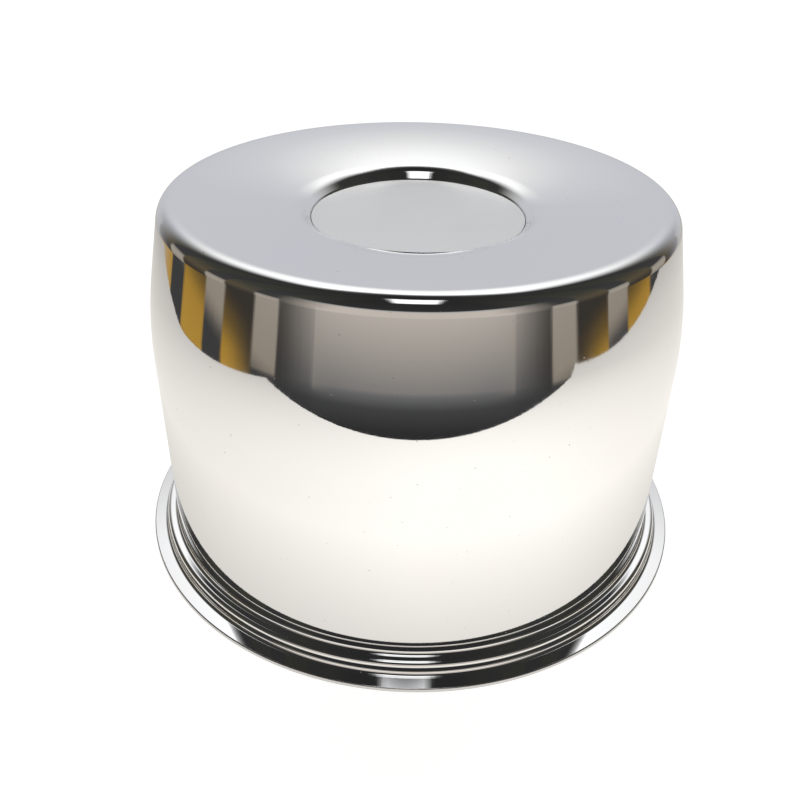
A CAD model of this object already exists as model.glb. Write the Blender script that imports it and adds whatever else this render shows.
"""Looks of the closed wheel centre cap: a fine turned shell, the disc in its seat, and a studio.

Metres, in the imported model's frame. The cap stands on Z = 0 with its closed end up, and the
camera looks along +Y from the front.
"""

import math

import bpy
from mathutils import Matrix, Vector


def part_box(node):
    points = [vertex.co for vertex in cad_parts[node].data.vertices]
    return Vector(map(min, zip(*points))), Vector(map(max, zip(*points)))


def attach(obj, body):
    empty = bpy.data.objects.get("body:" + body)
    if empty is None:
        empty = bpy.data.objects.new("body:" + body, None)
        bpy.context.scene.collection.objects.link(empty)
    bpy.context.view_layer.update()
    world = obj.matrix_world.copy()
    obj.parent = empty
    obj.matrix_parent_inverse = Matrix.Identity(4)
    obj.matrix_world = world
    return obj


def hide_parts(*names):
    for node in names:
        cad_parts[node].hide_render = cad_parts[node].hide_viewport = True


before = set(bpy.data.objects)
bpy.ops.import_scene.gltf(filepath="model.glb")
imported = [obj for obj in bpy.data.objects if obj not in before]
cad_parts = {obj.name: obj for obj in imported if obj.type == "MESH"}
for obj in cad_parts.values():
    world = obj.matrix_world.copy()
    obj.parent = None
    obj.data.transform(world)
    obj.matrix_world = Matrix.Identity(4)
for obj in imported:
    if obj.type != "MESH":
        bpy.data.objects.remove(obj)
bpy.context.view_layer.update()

MM = 0.001


def round_box(node):
    """The radius, bottom and top of a round CAD node, in millimetres."""
    low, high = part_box(node)
    return high.x / MM, low.z / MM, high.z / MM


FLANGE_RADIUS, _, CROWN_HEIGHT = round_box("cap_shell")
DISC_FOOT_RADIUS, DISC_BOTTOM, _ = round_box("emblem_disc")
PAD_RADIUS, PAD_BOTTOM, PAD_TOP = round_box("adhesive_pad")

# Sections of the cup and the disc, in millimetres and degrees, with the CAD model's values.
METAL = 1.0
PILOT_RADIUS = 65.5
PILOT_TOP = 4.5
WALL_RADIUS = 62.9
WALL_TOP = 51.5
LEAN_RADIUS = 94.5
LEAN_ANGLE = 11.3
CORNER_RADIUS = 4.35
CROWN_SLOPE = 4.0
DISH_SLOPE = 12.5
SEAT_RADIUS = 24.6
SEAT_GAP = 0.3
SEAT_FLOOR = PAD_BOTTOM - SEAT_GAP
BEND_ROUND = 1.15
FLANGE_FILLET = 1.0
WALL_FILLET = 1.0
FLOOR_FILLET = 0.6
DISC_THICKNESS = 0.7
DISC_TOP = DISC_BOTTOM + DISC_THICKNESS

# The seat's wall, which is gentler and rounder here than in the CAD model.
LIP_RADIUS = 29.2
LIP_ROUND = 7.0
SEAT_WALL_SLOPE = 42.0

# Small details that the CAD model leaves out, in millimetres and degrees.
FLANGE_DROOP = 7.5
EDGE_ROLL = 0.35
EDGE_BREAK = 0.12
DISC_RADIUS = 24.72
DISC_BREAK = 0.15
DISC_RIM_RISE = 0.05
DISC_RIM_ROLL = 0.12
DISC_RIM_SLOPE = 8.0
DISC_RIM_FILLET = 0.4

TURNED_STEPS = 288

# Material slots of the turned cup.
OUTSIDE = 0
INSIDE = 1
EDGE = 2

# Colours of the stage, the metals and the foam.
WHITE = (1.0, 1.0, 1.0)
CHROME_COOL = (0.85, 0.86, 0.88)
CHROME_WARM = (0.88, 0.875, 0.87)
CHROME_PIT = (0.30, 0.29, 0.28)
INSIDE_CLEAN = (0.66, 0.66, 0.66)
INSIDE_STAINED = (0.52, 0.51, 0.49)
EDGE_LIGHT = (0.78, 0.78, 0.79)
EDGE_DARK = (0.66, 0.66, 0.67)
DISC_LIGHT = (0.84, 0.84, 0.83)
DISC_DARK = (0.78, 0.78, 0.775)
DISC_GRAIN = (0.60, 0.60, 0.60)
FOAM_DARK = (0.055, 0.055, 0.058)
FOAM_LIGHT = (0.10, 0.10, 0.105)

# Camera: place in metres, lens and sensor in millimetres, turns in radians.
CAMERA_PLACE = Vector((0.0, -0.1903, 0.1514))
CAMERA_LENS = 38.76
CAMERA_SENSOR = 36.0
CAMERA_NEAR = 0.01
CAMERA_YAW = -0.0177
CAMERA_PITCH = 0.5698
CAMERA_ROLL = 0.0186

# What the metal mirrors: grey or colour by elevation in degrees. The front is towards the camera.
# The sides are upright bands of dark and pale, and the dark ones turn to wood further round.
ROOM_FRONT = [(-90.0, 0.02), (-22.0, 0.03), (-15.0, 0.06), (-11.0, 0.15),
              (-8.0, (0.34, 0.31, 0.28)), (-4.5, (0.53, 0.48, 0.43)), (0.0, (0.60, 0.54, 0.48)),
              (23.0, (0.60, 0.53, 0.47)), (27.0, 0.42), (31.0, 0.03), (90.0, 0.02)]
ROOM_DARK = [(-90.0, 0.03), (-14.0, 0.04), (-9.5, (0.04, 0.035, 0.03)), (8.0, (0.08, 0.07, 0.06)),
             (30.0, (0.05, 0.05, 0.04)), (90.0, 0.02)]
ROOM_PALE = [(-90.0, 0.03), (-13.0, 0.05), (-11.5, (0.30, 0.26, 0.21)), (-2.0, (0.40, 0.36, 0.31)),
             (5.0, (0.30, 0.27, 0.23)), (9.0, 0.05), (90.0, 0.02)]
ROOM_WOOD = [(-90.0, 0.03), (-18.0, 0.03), (-16.5, (0.46, 0.27, 0.05)), (-13.0, (0.40, 0.23, 0.04)),
             (-11.5, (0.16, 0.10, 0.03)), (-9.5, (0.04, 0.035, 0.03)), (8.0, (0.10, 0.08, 0.05)),
             (30.0, (0.05, 0.05, 0.04)), (90.0, 0.02)]
ROOM_FAR = [(-90.0, 0.55), (0.0, (0.58, 0.59, 0.63)), (20.0, (0.61, 0.62, 0.66)),
            (26.0, (0.68, 0.69, 0.72)), (32.0, 0.84), (40.0, 1.12), (62.0, 1.3), (69.0, 0.10),
            (76.0, 0.02), (90.0, 0.02)]

# Where one part of the room fades into the next, in degrees of turn either way from the front.
FRONT_EDGE = (28.0, 60.0)
WOOD_EDGE = (62.0, 80.0)
SIDE_EDGE = (118.0, 152.0)

# Spacing of the pale bands in degrees, and the heights of their sine wave where they fade in.
PALE_SPACING = 27.0
PALE_EDGE = (0.05, 0.45)

# Small overhead lamp a little towards the camera, as parts of a unit direction.
LAMP_CENTRE = -0.23
LAMP_REACH = 0.17
LAMP_HALF_WIDTH = 0.11
LAMP_GLOW = 1.4
LAMP_BLUR = 0.03

# White paper that the metal mirrors, in metres: its edges, how far it lies below the floor, the
# pool of light on it, and the cap's own shade round the axis.
PAPER_LEFT = -0.27
PAPER_RIGHT = 0.35
PAPER_FRONT = -0.20
PAPER_BACK = 4.0
PAPER_DEPTH = 0.0002
PAPER_COLOUR = (1.0, 0.96, 0.90)
PAPER_GLOW = 0.50
POOL_PLACE = (0.04, -0.10)
POOL_NEAR = 0.04
POOL_FAR = 0.40
POOL_GLOW = 1.22
SHADE_NEAR = 0.070
SHADE_FAR = 0.105
SHADE_DEPTH = 0.72

# White floor and dome that the camera sees.
FLOOR_REACH = 6.0
FLOOR_GLOW = 0.93
FLOOR_DIFFUSE = 0.45
BACKDROP_RADIUS = 8.0
BACKDROP_SEGMENTS = 48


# ---------------------------------------------------------------- turned shapes

class Pen:
    """Draws a section as (radius, height) points, each with the face's outward normal.

    The open side is on the pen's right. A positive turn is a convex bend.
    """

    def __init__(self, radius, height, heading):
        self.radius = radius
        self.height = height
        self.heading = math.radians(heading)
        self.points = []
        self.mark()

    def mark(self):
        normal = (math.sin(self.heading), -math.cos(self.heading))
        self.points.append((self.radius, self.height, normal))

    def straight(self, length, steps=1):
        for _ in range(steps):
            self.radius += length / steps * math.cos(self.heading)
            self.height += length / steps * math.sin(self.heading)
            self.mark()

    def bend(self, bend_radius, degrees, steps):
        step = math.radians(degrees) / steps
        chord = 2.0 * bend_radius * math.sin(abs(step) / 2.0)
        for _ in range(steps):
            middle = self.heading + step / 2.0
            self.radius += chord * math.cos(middle)
            self.height += chord * math.sin(middle)
            self.heading += step
            self.mark()


def turned(name, section, slots):
    """Turn a section about Z. section is (radius, height, normal, material index) per point.

    A face takes the material index of its first point. Corner normals come from the section,
    so reflections are as smooth as the true surface.
    """
    vertices = []
    normals = []
    for radius, height, normal, _ in section:
        for k in range(TURNED_STEPS):
            angle = 2.0 * math.pi * k / TURNED_STEPS
            vertices.append((radius * MM * math.cos(angle), radius * MM * math.sin(angle),
                             height * MM))
            normals.append((normal[0] * math.cos(angle), normal[0] * math.sin(angle), normal[1]))

    faces = []
    indices = []
    for row in range(len(section) - 1):
        first = row * TURNED_STEPS
        second = first + TURNED_STEPS
        for k in range(TURNED_STEPS):
            k_next = (k + 1) % TURNED_STEPS
            faces.append((first + k, first + k_next, second + k_next, second + k))
            indices.append(section[row][3])

    mesh = bpy.data.meshes.new(name)
    mesh.from_pydata(vertices, [], faces)
    for polygon, index in zip(mesh.polygons, indices):
        polygon.material_index = index
    mesh.shade_smooth()
    mesh.normals_split_custom_set_from_vertices(normals)
    for slot in slots:
        mesh.materials.append(slot)
    piece = bpy.data.objects.new(name, mesh)
    bpy.context.scene.collection.objects.link(piece)
    return piece


def shell_section():
    """The whole skin of the cup: inside from the axis, round the raw edge, and back outside."""
    lean = math.radians(LEAN_ANGLE)
    lean_end_radius = WALL_RADIUS - LEAN_RADIUS * (1.0 - math.cos(lean))
    lean_end_height = WALL_TOP + LEAN_RADIUS * math.sin(lean)
    corner_height = CROWN_HEIGHT - CORNER_RADIUS
    taper = (corner_height + CORNER_RADIUS * math.sin(lean) - lean_end_height) / math.cos(lean)
    corner_centre = lean_end_radius - taper * math.sin(lean) - CORNER_RADIUS * math.cos(lean)
    crown = math.radians(CROWN_SLOPE)
    dish = math.radians(DISH_SLOPE)
    dish_start = corner_centre - CORNER_RADIUS * math.sin(crown)
    dish_radius = (dish_start - LIP_RADIUS) / (math.sin(dish) - math.sin(crown))
    seat_wall = math.radians(SEAT_WALL_SLOPE)

    droop = math.radians(FLANGE_DROOP)
    pen = Pen(FLANGE_RADIUS - EDGE_BREAK, 0.0, 0.0)
    pen.bend(EDGE_BREAK, 90.0, steps=4)
    pen.straight(METAL - EDGE_BREAK - EDGE_ROLL * math.cos(droop), steps=2)
    pen.bend(EDGE_ROLL, 90.0 - FLANGE_DROOP, steps=8)
    face_start = len(pen.points) - 1
    fillet_reach = FLANGE_FILLET * (1.0 + math.sin(droop))
    pen.straight((pen.radius - PILOT_RADIUS - fillet_reach) / math.cos(droop), steps=4)
    pen.bend(FLANGE_FILLET, FLANGE_DROOP - 90.0, steps=8)
    pen.straight(PILOT_TOP - BEND_ROUND - pen.height, steps=2)
    pen.bend(BEND_ROUND, 90.0, steps=10)
    pen.straight(pen.radius - WALL_RADIUS - WALL_FILLET)
    pen.bend(WALL_FILLET, -90.0, steps=8)
    pen.straight(WALL_TOP - pen.height, steps=12)
    pen.bend(LEAN_RADIUS, LEAN_ANGLE, steps=12)
    pen.straight(taper, steps=4)
    pen.bend(CORNER_RADIUS, 90.0 - LEAN_ANGLE + CROWN_SLOPE, steps=20)
    pen.bend(dish_radius, DISH_SLOPE - CROWN_SLOPE, steps=12)
    pen.bend(LIP_ROUND, SEAT_WALL_SLOPE - DISH_SLOPE, steps=8)
    wall_run = pen.radius - SEAT_RADIUS - BEND_ROUND * (1.0 - math.sin(seat_wall))
    pen.straight(wall_run / math.cos(seat_wall), steps=2)
    pen.bend(BEND_ROUND, 90.0 - SEAT_WALL_SLOPE, steps=6)
    pen.straight(pen.height - SEAT_FLOOR - FLOOR_FILLET)
    pen.bend(FLOOR_FILLET, -90.0, steps=6)
    pen.straight(pen.radius, steps=6)

    edge = pen.points[:face_start]
    face = pen.points[face_start:]
    under = [(radius - METAL * normal[0], height - METAL * normal[1], (-normal[0], -normal[1]))
             for radius, height, normal in reversed(face)]
    section = [point + (INSIDE,) for point in under]
    section += [point + (EDGE,) for point in edge]
    section += [point + (OUTSIDE,) for point in face]
    return section


def disc_section():
    """The blank disc: a flat face inside a low rolled rim that leans out to meet the seat."""
    rim_top = DISC_TOP + DISC_RIM_RISE
    lean = math.atan2(DISC_RADIUS - DISC_FOOT_RADIUS, rim_top - DISC_BOTTOM)
    flare = math.degrees(lean)
    pen = Pen(0.0, DISC_BOTTOM, 0.0)
    pen.straight(DISC_FOOT_RADIUS - DISC_BREAK, steps=8)
    pen.bend(DISC_BREAK, 90.0 - flare, steps=4)
    rise = rim_top - DISC_RIM_ROLL * (1.0 + math.sin(lean)) - pen.height
    pen.straight(rise / math.cos(lean), steps=2)
    pen.bend(DISC_RIM_ROLL, 90.0 + flare + DISC_RIM_SLOPE, steps=10)
    slope = math.radians(DISC_RIM_SLOPE)
    fillet_drop = DISC_RIM_FILLET * (1.0 - math.cos(slope))
    pen.straight((pen.height - DISC_TOP - fillet_drop) / math.sin(slope), steps=2)
    pen.bend(DISC_RIM_FILLET, -DISC_RIM_SLOPE, steps=6)
    pen.straight(pen.radius, steps=10)
    return [point + (0,) for point in pen.points]


def pad_section():
    """The adhesive pad: flat faces and an edge squeezed slightly outwards."""
    thickness = PAD_TOP - PAD_BOTTOM
    pen = Pen(0.0, PAD_BOTTOM, 0.0)
    pen.straight(PAD_RADIUS - thickness / 2.0, steps=6)
    pen.bend(thickness / 2.0, 180.0, steps=12)
    pen.straight(pen.radius, steps=6)
    return [point + (0,) for point in pen.points]


# ---------------------------------------------------------------- nodes

class Nodes:
    """A node tree being written: each helper adds nodes and returns an output socket."""

    def __init__(self, tree):
        self.nodes = tree.nodes
        self.links = tree.links

    def feed(self, socket, value):
        if isinstance(value, bpy.types.NodeSocket):
            self.links.new(value, socket)
        else:
            socket.default_value = value

    def split(self, vector):
        node = self.nodes.new("ShaderNodeSeparateXYZ")
        self.feed(node.inputs[0], vector)
        return node.outputs

    def join(self, x, y, z):
        node = self.nodes.new("ShaderNodeCombineXYZ")
        for socket, value in zip(node.inputs, (x, y, z)):
            self.feed(socket, value)
        return node.outputs[0]

    def calculate(self, operation, *values):
        node = self.nodes.new("ShaderNodeMath")
        node.operation = operation
        for socket, value in zip(node.inputs, values):
            self.feed(socket, value)
        return node.outputs[0]

    def length(self, x, y):
        squares = self.calculate("ADD", self.calculate("MULTIPLY", x, x),
                                 self.calculate("MULTIPLY", y, y))
        return self.calculate("SQRT", squares)

    def span(self, value, low, high, to_low=0.0, to_high=1.0, smooth=False):
        """Map low..high to to_low..to_high, held at both ends."""
        node = self.nodes.new("ShaderNodeMapRange")
        if smooth:
            node.interpolation_type = "SMOOTHSTEP"
        for socket, setting in zip(node.inputs, (value, low, high, to_low, to_high)):
            self.feed(socket, setting)
        return node.outputs["Result"]

    def blend(self, factor, first, second):
        """Mix two colours, each a socket or three numbers."""
        node = self.nodes.new("ShaderNodeMix")
        node.data_type = "RGBA"
        self.feed(node.inputs["Factor"], factor)
        for name, colour in (("A", first), ("B", second)):
            if not isinstance(colour, bpy.types.NodeSocket):
                colour = (*colour, 1.0)
            self.feed(node.inputs[name], colour)
        return node.outputs["Result"]


class Shader(Nodes):
    """The node tree of a new material."""

    def __init__(self, name):
        self.material = bpy.data.materials.new(name)
        self.material.use_nodes = True
        super().__init__(self.material.node_tree)
        self.surface = self.nodes["Principled BSDF"]

    def position(self):
        return self.nodes.new("ShaderNodeTexCoord").outputs["Object"]

    def noise(self, vector, scale=1.0, detail=2.0, roughness=0.5):
        node = self.nodes.new("ShaderNodeTexNoise")
        self.feed(node.inputs["Vector"], vector)
        node.inputs["Scale"].default_value = scale
        node.inputs["Detail"].default_value = detail
        node.inputs["Roughness"].default_value = roughness
        return node.outputs["Fac"]

    def bump(self, height, distance, strength, normal=None):
        node = self.nodes.new("ShaderNodeBump")
        self.feed(node.inputs["Height"], height)
        node.inputs["Distance"].default_value = distance
        node.inputs["Strength"].default_value = strength
        if normal is not None:
            self.feed(node.inputs["Normal"], normal)
        return node.outputs["Normal"]

    def around(self, position, around_scale, up_scale):
        """A vector that changes round the axis and up it, but not with radius."""
        x, y, z = self.split(position)
        radius = self.calculate("MAXIMUM", self.length(x, y), 1e-6)
        across = self.calculate("DIVIDE", x, radius)
        along = self.calculate("DIVIDE", y, radius)
        return self.join(self.calculate("MULTIPLY", across, around_scale),
                         self.calculate("MULTIPLY", along, around_scale),
                         self.calculate("MULTIPLY", z, up_scale))

    def rings(self, position, scale):
        """A vector that changes only with radius."""
        x, y, _ = self.split(position)
        return self.join(self.calculate("MULTIPLY", self.length(x, y), scale), 0.0, 0.0)


def chrome_material():
    """Bright plated sheet: a mirror with faint draw streaks, polish rings, haze and pinholes."""
    shader = Shader("chrome")
    place = shader.position()
    haze = shader.noise(place, scale=38.0, detail=4.0, roughness=0.55)
    streaks = shader.noise(shader.around(place, 26.0, 9.0), detail=4.0, roughness=0.6)
    polish = shader.noise(shader.rings(place, 900.0), detail=3.0, roughness=0.6)
    grain = shader.noise(place, scale=2600.0, roughness=0.6)
    pinholes = shader.span(shader.noise(place, scale=1500.0, detail=0.0), 0.86, 0.89)

    tint = shader.blend(haze, CHROME_COOL, CHROME_WARM)
    tint = shader.blend(shader.calculate("MULTIPLY", pinholes, 0.45), tint, CHROME_PIT)
    shader.feed(shader.surface.inputs["Base Color"], tint)
    shader.surface.inputs["Metallic"].default_value = 1.0

    gloss = shader.calculate("ADD", shader.span(haze, 0.3, 0.7, 0.018, 0.040),
                             shader.span(streaks, 0.45, 0.75, 0.0, 0.018))
    gloss = shader.calculate("ADD", gloss, shader.span(polish, 0.5, 0.8, 0.0, 0.012))
    gloss = shader.calculate("ADD", gloss, shader.calculate("MULTIPLY", pinholes, 0.25))
    shader.feed(shader.surface.inputs["Roughness"], gloss)

    waves = shader.bump(streaks, 0.00002, 0.35)
    shader.feed(shader.surface.inputs["Normal"], shader.bump(grain, 0.000002, 0.25, waves))
    return shader.material


def inside_material():
    """Back of the drawn sheet: thinly plated, duller, with draw lines and faint stains."""
    shader = Shader("drawn_inside")
    place = shader.position()
    lines = shader.noise(shader.around(place, 60.0, 6.0), detail=5.0, roughness=0.65)
    rings = shader.noise(shader.rings(place, 1400.0), detail=4.0, roughness=0.6)
    stains = shader.noise(place, scale=42.0, detail=5.0, roughness=0.6)

    tint = shader.blend(shader.span(stains, 0.35, 0.7), INSIDE_CLEAN, INSIDE_STAINED)
    shader.feed(shader.surface.inputs["Base Color"], tint)
    shader.surface.inputs["Metallic"].default_value = 1.0
    rough = shader.calculate("ADD", shader.span(lines, 0.3, 0.7, 0.20, 0.34),
                             shader.span(stains, 0.4, 0.8, 0.0, 0.10))
    shader.feed(shader.surface.inputs["Roughness"], rough)
    relief = shader.bump(lines, 0.00006, 0.6)
    shader.feed(shader.surface.inputs["Normal"], shader.bump(rings, 0.00003, 0.4, relief))
    return shader.material


def edge_material():
    """The punched edge of the flange: a plated but torn cut face with upright scratches."""
    shader = Shader("cut_edge")
    place = shader.position()
    scratches = shader.noise(shader.around(place, 420.0, 40.0), detail=3.0, roughness=0.6)
    tint = shader.blend(scratches, EDGE_LIGHT, EDGE_DARK)
    shader.feed(shader.surface.inputs["Base Color"], tint)
    shader.surface.inputs["Metallic"].default_value = 1.0
    shader.feed(shader.surface.inputs["Roughness"], shader.span(scratches, 0.3, 0.7, 0.10, 0.30))
    shader.feed(shader.surface.inputs["Normal"], shader.bump(scratches, 0.00002, 0.5))
    return shader.material


def disc_material():
    """Satin metal: fine blasted grain, faint lathe rings and a slightly uneven finish."""
    shader = Shader("disc_metal")
    place = shader.position()
    cloud = shader.noise(place, scale=70.0, detail=4.0, roughness=0.55)
    grain = shader.noise(place, scale=5200.0, roughness=0.6)
    rings = shader.noise(shader.rings(place, 2600.0), roughness=0.6)

    tint = shader.blend(cloud, DISC_LIGHT, DISC_DARK)
    tint = shader.blend(shader.span(grain, 0.35, 0.75, 0.0, 0.16), tint, DISC_GRAIN)
    shader.feed(shader.surface.inputs["Base Color"], tint)
    shader.surface.inputs["Metallic"].default_value = 1.0
    rough = shader.calculate("ADD", shader.span(cloud, 0.3, 0.7, 0.30, 0.40),
                             shader.span(rings, 0.4, 0.7, 0.0, 0.04))
    shader.feed(shader.surface.inputs["Roughness"], rough)
    turned_marks = shader.bump(rings, 0.000004, 0.5)
    shader.feed(shader.surface.inputs["Normal"],
                shader.bump(grain, 0.00001, 0.4, turned_marks))
    return shader.material


def pad_material():
    """Dark closed-cell foam with a fine cellular surface."""
    shader = Shader("adhesive")
    place = shader.position()
    cells = shader.noise(place, scale=3200.0, detail=3.0, roughness=0.6)
    tint = shader.blend(cells, FOAM_DARK, FOAM_LIGHT)
    shader.feed(shader.surface.inputs["Base Color"], tint)
    shader.feed(shader.surface.inputs["Roughness"], shader.span(cells, 0.2, 0.8, 0.75, 0.95))
    shader.feed(shader.surface.inputs["Normal"], shader.bump(cells, 0.0001, 0.8))
    return shader.material


# ---------------------------------------------------------------- studio

def ramp(tree, elevation, stops):
    """Colour by elevation, which runs from 0 straight down to 1 straight up.

    stops is a list of (degrees, grey or colour).
    """
    node = tree.nodes.new("ShaderNodeValToRGB")
    elements = node.color_ramp.elements
    while len(elements) > 1:
        elements.remove(elements[-1])
    for number, (degrees, colour) in enumerate(stops):
        if isinstance(colour, float):
            colour = (colour, colour, colour)
        place = (degrees + 90.0) / 180.0
        element = elements[0] if number == 0 else elements.new(place)
        element.position = place
        element.color = (*colour, 1.0)
    tree.feed(node.inputs["Fac"], elevation)
    return node.outputs["Color"]


def room_walls(tree, x, y, z):
    """The room's colour in each direction, the same to the left as to the right."""
    elevation = tree.calculate("DIVIDE", tree.calculate("ARCSINE", z), math.pi)
    elevation = tree.calculate("ADD", elevation, 0.5)
    azimuth = tree.calculate("ARCTAN2", x, tree.calculate("MULTIPLY", y, -1.0))
    turn = tree.calculate("DEGREES", tree.calculate("ABSOLUTE", azimuth))

    def change(low, high, first, second, value=turn):
        return tree.blend(tree.span(value, low, high, smooth=True), first, second)

    bands = tree.calculate("SINE", tree.calculate("MULTIPLY", turn, 2.0 * math.pi / PALE_SPACING))
    dark = change(*WOOD_EDGE, ramp(tree, elevation, ROOM_DARK), ramp(tree, elevation, ROOM_WOOD))
    side = change(*PALE_EDGE, dark, ramp(tree, elevation, ROOM_PALE), bands)
    near = change(*FRONT_EDGE, ramp(tree, elevation, ROOM_FRONT), side)
    return change(*SIDE_EDGE, near, ramp(tree, elevation, ROOM_FAR))


def lamp_mask(tree, x, y, z):
    """One in the directions of the overhead lamp, and zero elsewhere."""
    def within(distance, reach):
        distance = tree.calculate("ABSOLUTE", distance)
        return tree.span(distance, reach - LAMP_BLUR, reach + LAMP_BLUR, 1.0, 0.0, smooth=True)

    across = within(x, LAMP_HALF_WIDTH)
    along = within(tree.calculate("SUBTRACT", y, LAMP_CENTRE), LAMP_REACH)
    above = tree.calculate("GREATER_THAN", z, 0.0)
    return tree.calculate("MULTIPLY", tree.calculate("MULTIPLY", across, along), above)


def make_room():
    """Light from all round: bright far behind the cap, dim at the sides and front, and a lamp."""
    world = bpy.data.worlds.new("room")
    bpy.context.scene.world = world
    world.use_nodes = True
    tree = Nodes(world.node_tree)
    x, y, z = tree.split(tree.nodes.new("ShaderNodeTexCoord").outputs["Generated"])
    colour = tree.blend(lamp_mask(tree, x, y, z), room_walls(tree, x, y, z), (LAMP_GLOW,) * 3)
    tree.feed(tree.nodes["Background"].inputs["Color"], colour)


def glowing(name, colour, strength, diffuse=0.0):
    """A matt material that gives off light. strength can be fed again later."""
    shader = Shader(name)
    surface = shader.surface
    surface.inputs["Base Color"].default_value = (diffuse, diffuse, diffuse, 1.0)
    surface.inputs["Specular IOR Level"].default_value = 0.0
    surface.inputs["Emission Color"].default_value = (*colour, 1.0)
    surface.inputs["Emission Strength"].default_value = strength
    return shader


def paper_material():
    """White paper: brightest in a pool of light beside the cap, and darker close to the cap."""
    shader = glowing("sheet_white", PAPER_COLOUR, PAPER_GLOW)
    x, y, _ = shader.split(shader.position())
    distance = shader.length(shader.calculate("SUBTRACT", x, POOL_PLACE[0]),
                             shader.calculate("SUBTRACT", y, POOL_PLACE[1]))
    pool = shader.span(distance, POOL_NEAR, POOL_FAR, POOL_GLOW, PAPER_GLOW)
    shade = shader.span(shader.length(x, y), SHADE_NEAR, SHADE_FAR, SHADE_DEPTH, 1.0)
    shader.feed(shader.surface.inputs["Emission Strength"],
                shader.calculate("MULTIPLY", pool, shade))
    return shader.material


def floor_material():
    """Plain white floor with a little diffuse light, so the cap leaves a faint shadow.

    It is clear from below, so that the open underside can be looked at.
    """
    shader = glowing("floor_white", WHITE, FLOOR_GLOW, FLOOR_DIFFUSE)
    shader.surface.inputs["Roughness"].default_value = 1.0
    clear = shader.nodes.new("ShaderNodeBsdfTransparent")
    choice = shader.nodes.new("ShaderNodeMixShader")
    below = shader.nodes.new("ShaderNodeNewGeometry").outputs["Backfacing"]
    for socket, value in zip(choice.inputs, (below, shader.surface.outputs[0], clear.outputs[0])):
        shader.feed(socket, value)
    shader.feed(shader.nodes["Material Output"].inputs["Surface"], choice.outputs[0])
    return shader.material


def flat_stage(name, left, right, front, back, height, material):
    """A level rectangle of the stage."""
    mesh = bpy.data.meshes.new(name)
    corners = [(left, front, height), (right, front, height), (right, back, height),
               (left, back, height)]
    mesh.from_pydata(corners, [], [(0, 1, 2, 3)])
    mesh.materials.append(material)
    plane = bpy.data.objects.new(name, mesh)
    bpy.context.scene.collection.objects.link(plane)
    return plane


def make_floor():
    """The floor that the camera sees, and the smaller lit paper that the chrome mirrors."""
    floor = flat_stage("floor", -FLOOR_REACH, FLOOR_REACH, -FLOOR_REACH, FLOOR_REACH, 0.0,
                       floor_material())
    floor.visible_glossy = False
    floor.visible_shadow = False
    paper = flat_stage("lit_sheet", PAPER_LEFT, PAPER_RIGHT, PAPER_FRONT, PAPER_BACK,
                       -PAPER_DEPTH, paper_material())
    paper.visible_camera = False


def make_backdrop():
    """White dome behind everything. Only the camera sees it, so it lights nothing."""
    bpy.ops.mesh.primitive_uv_sphere_add(segments=BACKDROP_SEGMENTS,
                                         ring_count=BACKDROP_SEGMENTS // 2,
                                         radius=BACKDROP_RADIUS)
    dome = bpy.context.object
    dome.name = "backdrop"
    dome.data.shade_smooth()
    dome.data.materials.append(glowing("backdrop_white", WHITE, 1.0).material)
    dome.visible_diffuse = False
    dome.visible_glossy = False
    dome.visible_transmission = False
    dome.visible_volume_scatter = False
    dome.visible_shadow = False


def make_camera():
    """The photograph's viewpoint: yaw to the right, pitch down and roll, in that order."""
    data = bpy.data.cameras.new("camera")
    data.lens = CAMERA_LENS
    data.sensor_width = CAMERA_SENSOR
    data.clip_start = CAMERA_NEAR
    camera = bpy.data.objects.new("camera", data)
    bpy.context.scene.collection.objects.link(camera)
    level = math.cos(CAMERA_PITCH)
    ahead = Vector((math.sin(CAMERA_YAW) * level, math.cos(CAMERA_YAW) * level,
                    -math.sin(CAMERA_PITCH)))
    flat_right = Vector((math.cos(CAMERA_YAW), -math.sin(CAMERA_YAW), 0.0))
    flat_up = flat_right.cross(ahead)
    right = math.cos(CAMERA_ROLL) * flat_right + math.sin(CAMERA_ROLL) * flat_up
    up = math.cos(CAMERA_ROLL) * flat_up - math.sin(CAMERA_ROLL) * flat_right
    turn = Matrix((right, up, -ahead)).transposed().to_4x4()
    camera.matrix_world = Matrix.Translation(CAMERA_PLACE) @ turn
    bpy.context.scene.camera = camera


# ---------------------------------------------------------------- the cap

def make_cap():
    """The three pieces, each in place of its CAD node."""
    shell = turned("chromed_cup", shell_section(),
                   [chrome_material(), inside_material(), edge_material()])
    disc = turned("satin_disc", disc_section(), [disc_material()])
    pad = turned("foam_pad", pad_section(), [pad_material()])
    for piece, node, slot in ((shell, "cap_shell", "chrome"),
                              (disc, "emblem_disc", "disc_metal"),
                              (pad, "adhesive_pad", "adhesive")):
        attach(piece, "root")
        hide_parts(node)


make_camera()
make_room()
make_floor()
make_backdrop()
make_cap()
bpy.context.scene.view_settings.view_transform = "Standard"
